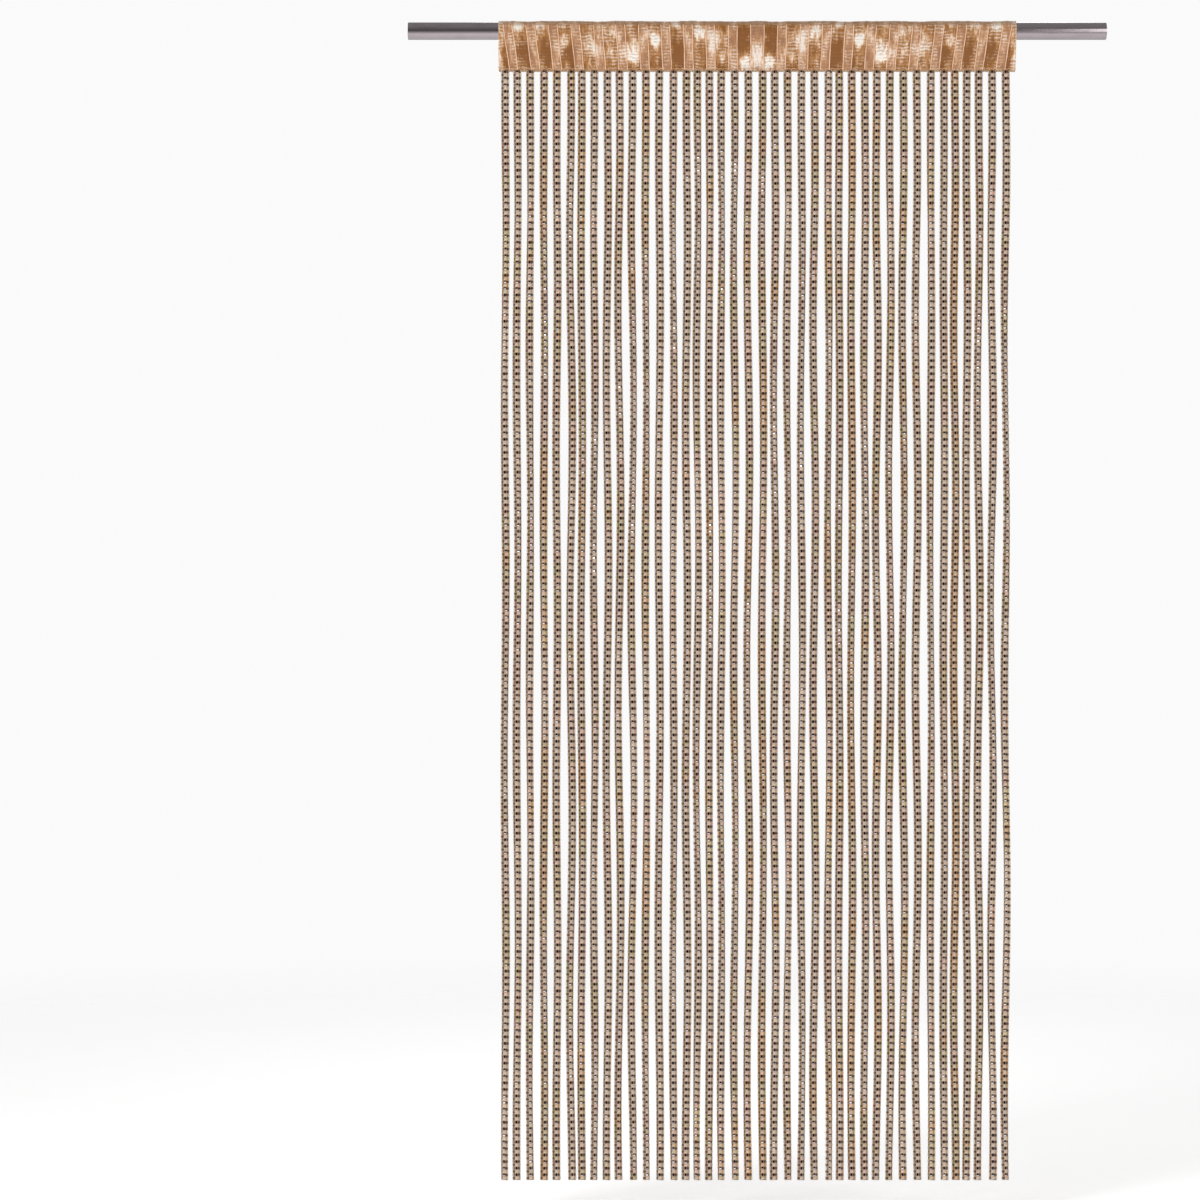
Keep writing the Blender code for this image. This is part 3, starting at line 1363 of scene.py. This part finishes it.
    def hung(self, chain: Piece, hang: Hang, chance: np.random.Generator) -> Piece:
        """Copies the chain, lays it on its line and hangs it up.

        Args:
            chain: The straight chain.
            hang: How the strand hangs.
            chance: Where the variants of its units come from.

        Returns:
            The strand in its place.
        """
        strand = Bench.placed(chain.data.copy())
        self.vary(strand, hang, chance)
        line = self.line(hang)
        Bench.apply(strand, "CURVE", object=line, deform_axis="POS_X")
        bpy.data.objects.remove(line)
        upright = Matrix(((0, 1, 0), (0, 0, -1), (-1, 0, 0))).to_4x4()
        strand.matrix_world = Matrix.Translation((hang.x, 0, self.root + self.rooted)) @ upright
        return Bench.settled(strand)

    def root_edge(self) -> Piece:
        """The narrow knitted edge that joins the strands under the satin.

        Returns:
            The edge.
        """
        width = STRANDS_BOX[1][0] - STRANDS_BOX[0][0] - self.edge_spare
        unit = ROOT_EDGE.knit(self.edge_pitch)
        edge = self.repeated(unit, self.edge_pitch, math.ceil(width / self.edge_pitch) + 1, width)
        uv = read(edge.data.uv_layers[CHAIN_MAP].data, "uv", 2).reshape(-1, 2)
        self.map(edge, uv / np.array((COLUMNS, ROWS), np.float32))
        edge.rotation_euler = (math.pi / 2, 0, 0)
        edge.location = (-width / 2, 0, self.edge_height)
        Bench.settled(edge)
        Bench.smooth(edge, 70)
        return report(edge, "strands", "strands")

    def make(self) -> list[Piece]:
        """Makes the knitted edge and all strands, a few to a piece.

        Returns:
            The pieces.
        """
        made = [self.root_edge()]
        chain = self.chain()
        hangs = self.hangs()
        chance = np.random.default_rng(self.seed + 1)
        for start in range(0, len(hangs), self.to_a_piece):
            group = [self.hung(chain, hang, chance) for hang in hangs[start : start + self.to_a_piece]]
            piece = Bench.joined(group, f"strands_{start // self.to_a_piece + 1:02d}")
            made.append(report(piece, "strands", "strands"))
        bpy.data.objects.remove(chain)
        return made


# The heading.


@dataclass
class Heading:
    """The satin rod pocket with its laid-in cords and its looped lower edge."""

    width: float = HEADER_BOX[1][0] - HEADER_BOX[0][0]
    radius: float = 0.0163  # of the cloth's middle over the rod
    seam: float = -0.0590  # height where the two layers meet
    seam_half: float = 0.0014
    edge: float = -0.0685  # height of the lower edge
    thickness: float = 0.0007
    seam_hold: float = 0.012  # how far above the seam it holds back the dents
    dent_depth: float = 0.0011  # how far a patch of full tone stands out
    dent_most: float = 0.0004  # how far a dent goes in at most
    crinkle: float = 0.00022  # height of the finest swells
    gather: float = 0.0024  # how far the slack satin stands out at most
    gather_on_rod: float = 0.7
    gather_top: float = 0.015  # height below which the slack grows
    columns: int = 184
    rows: int = 42
    pairs: int = 11
    first_pair: float = 0.0428
    pair_pitch: float = 0.0390
    pair_spread: float = 0.0152
    lone: float = 0.0115
    lean: float = 0.32
    cord: float = 0.0010  # radius of a laid-in cord
    cord_foot: float = 0.001  # how far from the cloth's edge the cords end
    cord_top: float = 0.0110  # height where the cords go under the roll
    cord_steps: int = 15
    cord_sink: float = 1.2  # steps over which a cord goes under the roll
    cord_wander: float = 0.0003
    loop_pitch: float = 0.0075
    loop_thread: float = 0.0007
    loop_flat: float = 0.65  # height of a loop as a share of half its width
    loop_shift: tuple[float, float, float] = (0.0005, 0.0006, 0.0008)  # along, forwards and up
    loop_spare: float = 0.003  # how much narrower the row of loops is than the cloth
    cord_finish: PaleThread = PaleThread("pale cord", dyed(252, 214, 182), dyed(222, 174, 140))
    loop_finish: PaleThread = PaleThread("loop thread", dyed(238, 202, 170), dyed(184, 138, 102))
    # patches of painted sheen where their tone is above 0 and painted shade below 0; they also swell or dent
    # the cloth
    patches: tuple[Patch, ...] = (
        Patch(0.414, 0.006, 0.012, 0.009, 0.50),
        Patch(0.378, 0.009, 0.009, 0.006, 0.30),
        Patch(0.337, 0.010, 0.007, 0.007, 0.35),
        Patch(0.337, -0.020, 0.007, 0.011, 0.45),
        Patch(0.291, -0.032, 0.011, 0.015, 0.45),
        Patch(0.256, -0.032, 0.010, 0.022, 0.20),
        Patch(0.220, -0.038, 0.016, 0.018, 0.60),
        Patch(0.179, -0.019, 0.010, 0.015, 0.50),
        Patch(0.141, 0.010, 0.007, 0.008, 0.40),
        Patch(0.099, -0.006, 0.012, 0.015, 0.45),
        Patch(0.078, -0.022, 0.008, 0.020, 0.50),
        Patch(0.060, -0.040, 0.010, 0.020, 0.18),
        Patch(0.021, -0.058, 0.014, 0.014, 0.60),
        Patch(0.002, -0.042, 0.008, 0.022, 0.50),
        Patch(0.406, -0.036, 0.011, 0.028, -0.40),
        Patch(0.367, -0.036, 0.011, 0.027, -0.35),
        Patch(0.328, -0.044, 0.010, 0.020, -0.45),
        Patch(0.137, -0.038, 0.013, 0.028, -0.45),
        Patch(0.027, -0.010, 0.018, 0.020, -0.45),
        Patch(0.000, 0.002, 0.022, 0.012, -0.30),
        Patch(0.443, -0.044, 0.007, 0.022, -0.35),
        Patch(0.200, -0.050, 0.008, 0.020, -0.20),
        Patch(0.168, -0.055, 0.008, 0.012, -0.30),
    )

    @property
    def under(self) -> float:
        """The angle, below the level of the rod's axis, where the cloth leaves the rod."""
        reach = math.hypot(self.seam_half, self.seam)
        return math.acos(self.radius / reach) - math.atan2(-self.seam, self.seam_half)

    @property
    def leaving(self) -> tuple[float, float]:
        """Depth and height of the point where the front layer leaves the rod."""
        return -self.radius * math.cos(self.under), self.radius * math.sin(self.under)

    @property
    def runs(self) -> tuple[float, float, float]:
        """Lengths of the sewn tab, the straight run and half the arc over the rod.

        Returns:
            The three lengths, from the lower edge up.
        """
        y, z = self.leaving
        straight = math.hypot(y + self.seam_half, z - self.seam)
        return self.seam - self.edge, straight, self.radius * (math.pi / 2 - self.under)

    @property
    def length(self) -> float:
        """The cloth's length from edge to edge, over the rod."""
        return 2 * sum(self.runs)

    def slack(self, x: float, z: float) -> float:
        """How far the slack satin stands out there, as a share of the full gather.

        Args:
            x: Place along the rod.
            z: Height.

        Returns:
            The share.
        """
        down = min(1.0, max(0.0, (self.gather_top - z) / (self.gather_top - self.seam)))
        share = min(1.0, self.gather_on_rod * (1 - down) + 1.2 * math.sin(math.pi * down) ** 1.3)
        side = abs(x)
        folds = (
            0.5
            + 0.26 * math.cos(math.tau * side / 0.117 + 2.4 * z / 0.07)
            + 0.16 * math.sin(math.tau * side / 0.062 + 1.9)
            + 0.08 * math.sin(math.tau * x / 0.043)
        )
        return share * folds

    def dent(self, x: float, z: float) -> float:
        """How far the small soft dents and swells push the satin out there, in metres.

        Args:
            x: Place along the rod.
            z: Height.

        Returns:
            The distance, below 0 where they push it in.
        """
        side, total = abs(x), 0.0
        for patch in self.patches:
            off = patch.off(side, z)
            if off < 9:
                total += math.exp(-off) * patch.tone
        fine = math.sin(math.tau * x / 0.0195 + 9 * z) * math.sin(math.tau * z / 0.031 + 40 * side)
        return self.dent_depth * total + self.crinkle * fine

    def point(self, x: float, along: float, lift: float = 0.0) -> Vector:
        """A point of the cloth.

        Args:
            x: Place along the rod.
            along: Distance over the cloth from its front edge.
            lift: Distance out from the cloth's middle.

        Returns:
            The point.
        """
        run = min(along, self.length - along)
        tab, straight, _ = self.runs
        y0, z0 = self.leaving
        if run <= tab:
            y, z, out = -self.seam_half, self.edge + run, Vector((0, -1, 0))
        elif run <= tab + straight:
            share = (run - tab) / straight
            y = -self.seam_half + share * (y0 + self.seam_half)
            z = self.seam + share * (z0 - self.seam)
            out = Vector((0, -math.cos(self.under), math.sin(self.under)))
        else:
            angle = self.under + (run - tab - straight) / self.radius
            y, z = -self.radius * math.cos(angle), self.radius * math.sin(angle)
            out = Vector((0, -math.cos(angle), math.sin(angle)))
        near = min(1.0, max(0.0, (z - self.seam) / self.seam_hold))
        push = lift + self.gather * self.slack(x, z)
        push += max(-self.dent_most, self.dent(x, z)) * near
        place = Vector((x, y, z)) + out * push
        if along > self.length / 2:
            place.y = -place.y
        return place

    def cloth(self) -> Piece:
        """The satin: a flat cut of cloth, folded over the rod and sewn to itself.

        Returns:
            The satin.
        """
        grid = {"x_subdivisions": self.columns, "y_subdivisions": self.rows, "size": 1}
        satin = Bench.added("grid", "satin_pocket", **grid)
        satin.scale = (self.width, self.length, 1)
        Bench.settled(satin)
        satin.data.uv_layers[0].name = CLOTH_MAP
        for vertex in satin.data.vertices:
            vertex.co = self.point(vertex.co.x, vertex.co.y + self.length / 2)
        with Bench.opened(satin):
            Bench.outwards()
        Bench.apply(satin, "SOLIDIFY", thickness=self.thickness, offset=0, use_even_offset=True)
        Bench.smooth(satin, 60)
        finish = Satin(
            "bronze satin",
            cut=self,
            deep=dyed(132, 76, 8),
            brown=dyed(150, 92, 20),
            bronze=dyed(180, 124, 66),
            pale=dyed(228, 192, 160),
            white=dyed(255, 248, 238),
            rose=dyed(214, 172, 148),
            # painted shade over the roll
            roll_shade=dyed(158, 130, 106),
        )
        satin.data.materials.append(finish.made())
        return satin

    def cord_places(self) -> list[float]:
        """Where each laid-in cord crosses the level of the rod's axis.

        Returns:
            The places from left to right.
        """
        side = [self.lone]
        for pair in range(self.pairs):
            middle = self.first_pair + pair * self.pair_pitch
            side += [middle - self.pair_spread / 2, middle + self.pair_spread / 2]
        return sorted([-x for x in side] + side)

    def cord_run(self, number: int, x0: float, back: bool) -> list[tuple]:
        """The points of one laid-in cord, from its foot up to where it goes under the roll.

        Args:
            number: Its number, which sets how it wanders.
            x0: Where it crosses the level of the rod's axis.
            back: Whether it lies on the back.

        Returns:
            The place, radius and tilt of each point.
        """
        arc = self.radius * (math.asin(self.cord_top / self.radius) - self.under)
        top = self.runs[0] + self.runs[1] + arc
        run = []
        for i in range(self.cord_steps + 1):
            along = self.cord_foot + (top - self.cord_foot) * i / self.cord_steps
            along = self.length - along if back else along
            x = x0 * (1 + self.lean * self.point(x0, along).z)
            x += self.cord_wander * math.sin(number * 2.1 + along * 90)
            sunk = max(0.0, (i - self.cord_steps + self.cord_sink) / self.cord_sink)
            place = self.point(x, along, self.thickness / 2 + self.cord * (0.1 - sunk))
            run.append((place, 1 - 0.6 * sunk, 0.0))
        return run

    def cords(self) -> Piece:
        """The pale cords laid into the satin in pairs, leaning inwards on both halves.

        Returns:
            All of them, as one piece.
        """
        sides = [(x0, back) for x0 in self.cord_places() for back in (False, True)]
        runs = [self.cord_run(number, x0, back) for number, (x0, back) in enumerate(sides)]
        round_section = {"bevel_depth": self.cord, "bevel_resolution": 1, "use_fill_caps": True}
        Bench.take(Bench.curve("laid_cords", runs, **round_section))
        bpy.ops.object.convert(target="MESH")
        cords = bpy.context.object
        with Bench.opened(cords):
            bpy.ops.mesh.select_all(action="SELECT")
            bpy.ops.mesh.remove_doubles(threshold=0.00002)
            Bench.outwards()
        Bench.smooth(cords, 80)
        cords.data.materials.append(self.cord_finish.made())
        return cords

    def loops(self) -> Piece:
        """The small thread loops along the lower edge: one loop, spun and then copied along the edge.

        Returns:
            All of them, as one piece.
        """
        half = self.loop_pitch / 2
        thread = {"vertices": 5, "radius": self.loop_thread, "location": (-half, 0, 0)}
        loop = Bench.added("circle", "edge_loops", **thread)
        with Bench.opened(loop):
            bpy.ops.mesh.select_all(action="SELECT")
            bpy.ops.mesh.spin(steps=6, angle=-math.pi, center=(0, 0, 0), axis=(0, 1, 0))
            bpy.ops.mesh.select_all(action="SELECT")
            bpy.ops.transform.resize(value=(1, 1, self.loop_flat), center_override=(0, 0, 0))
            bpy.ops.mesh.select_non_manifold()
            bpy.ops.mesh.fill_holes(sides=0)
            Bench.outwards()
        Bench.row(loop, round(self.width / self.loop_pitch), self.loop_pitch)
        right, front, up = self.loop_shift
        loop.location = (-self.width / 2 + half + right, -self.seam_half - front, self.edge + up)
        Bench.settled(loop)
        for vertex in loop.data.vertices:
            vertex.co.x *= (self.width - self.loop_spare) / self.width
        Bench.smooth(loop, 80)
        loop.data.materials.append(self.loop_finish.made())
        return loop

    def make(self) -> list[Piece]:
        """Makes the heading's pieces: the satin first."""
        satin = report(self.cloth(), "header", "header")
        return [satin, report(self.cords(), "header"), report(self.loops(), "header")]


# The rod.


@dataclass
class Rod:
    """The plain round metal rod with a small bevel round each end."""

    length: float = ROD_BOX[1][0] - ROD_BOX[0][0]
    radius: float = (ROD_BOX[1][2] - ROD_BOX[0][2]) / 2
    bevel: float = 0.0008
    sides: int = 72
    finish: BrushedMetal = BrushedMetal("brushed grey metal", dyed(176, 166, 169), dyed(140, 129, 133))

    def make(self) -> Piece:
        """Turns and dresses the rod.

        Returns:
            The rod.
        """
        sizes = {"vertices": self.sides, "radius": self.radius, "depth": self.length}
        rod = Bench.added("cylinder", "round_rod", rotation=(0, math.pi / 2, 0), **sizes)
        edges = {"limit_method": "ANGLE", "angle_limit": math.radians(60)}
        Bench.apply(rod, "BEVEL", width=self.bevel, segments=2, **edges)
        Bench.smooth(rod, 30)
        rod.data.materials.append(self.finish.made())
        return report(rod, "rod", "rod")


# The studio.


@dataclass
class Softbox:
    """A plain area light that looks at a point."""

    place: tuple[float, float, float]
    goal: tuple[float, float, float]
    size: tuple[float, float]
    power: float
    mirrored: bool = True  # whether shiny surfaces show it

    def make(self, name: str) -> None:
        """Sets up the light.

        Args:
            name: Its name.
        """
        lamp = bpy.data.lights.new(name, "AREA")
        lamp.shape = "RECTANGLE"
        lamp.size, lamp.size_y = self.size
        lamp.energy = self.power
        made = Bench.placed(lamp)
        made.location = self.place
        made.rotation_euler = (Vector(self.goal) - Vector(self.place)).to_track_quat("-Z", "Y").to_euler()
        made.visible_camera = False
        made.visible_glossy = self.mirrored


@dataclass
class Studio:
    """Pale floor, pale surroundings, soft lights and the camera."""

    lens: float = 120.0
    sensor: float = 36.0
    view: float = 2.0890  # width of what the camera sees at the curtain, in metres
    aim: tuple[float, float] = (-0.2734, -0.9903)  # the middle of the picture, along X and Z
    floor: float = -2.06
    floor_radius: float = 5.5
    fade: tuple[float, float] = (1.6, 5.2)  # where the floor begins to fade out, and where it is gone
    seen: float = 0.96  # brightness of the surroundings for the camera
    lights: tuple[Softbox, ...] = field(
        default_factory=lambda: (
            Softbox((-2.6, -3.6, 1.9), (0, 0, -0.8), (1.4, 2.2), 155, mirrored=False),
            Softbox((3.0, -3.0, 0.0), (0, 0, -1.0), (1.2, 2.4), 42),
            Softbox((0.3, 3.4, 1.4), (0, 0, -0.8), (2.0, 2.0), 38),
        )
    )

    def camera(self) -> None:
        """Sets the camera straight in front."""
        data = bpy.data.cameras.new("camera")
        data.lens = self.lens
        data.sensor_width = self.sensor
        made = Bench.placed(data)
        made.location = (self.aim[0], -self.view * self.lens / self.sensor, self.aim[1])
        made.rotation_euler = (math.pi / 2, 0, 0)
        bpy.context.scene.camera = made

    def surroundings(self) -> None:
        """Pale surroundings, which light the curtain more from above and below than from the sides."""
        sky = Dye(bpy.data.worlds.new("studio"), "Background")
        height = sky.place("Generated")[2]
        seen = Wire(sky, sky.node("ShaderNodeLightPath").outputs["Is Camera Ray"])
        soft = height.step(0.0, 1.0) * 0.25 + (height * -1.0).step(0.0, 0.5) * 0.5 + 0.14
        strength = seen * (self.seen - soft) + soft
        bpy.context.scene.world = sky.finish(Strength=strength, Color=(1.0, 1.0, 1.0))
        bpy.context.scene.view_settings.view_transform = "Standard"

    def ground(self) -> None:
        """A round pale floor that fades out into the surroundings."""
        place = (0, 0, self.floor)
        disc = {"vertices": 96, "radius": self.floor_radius, "fill_type": "NGON", "location": place}
        floor = Bench.added("circle", "floor", **disc)
        dye = Dye.material_named("pale floor")
        x, y, _ = dye.place()
        finish = dye.finish(
            Base_Color=(0.9, 0.9, 0.9),
            Roughness=0.8,
            Emission_Color=(1.0, 1.0, 1.0),
            Emission_Strength=0.42,
            Alpha=1 - dye.maths("SQRT", x * x + y * y).step(*self.fade),
        )
        floor.data.materials.append(finish)

    def make(self) -> None:
        """Sets up the studio."""
        self.camera()
        self.surroundings()
        self.ground()
        for number, light in enumerate(self.lights, 1):
            light.make(f"softbox_{number}")
        log.info("studio set up")


def main() -> None:
    """Builds the curtain and the studio round it."""
    logging.basicConfig(level=logging.INFO, format="%(name)s: %(message)s")
    Studio().make()
    FINISHES.update({yarn: yarn.finish().made() for yarn in Yarn})
    Rod().make()
    heading = Heading()
    satin, cords, loops = heading.make()
    strands = Strands().make()
    heading.length


if __name__ == "__main__":
    main()
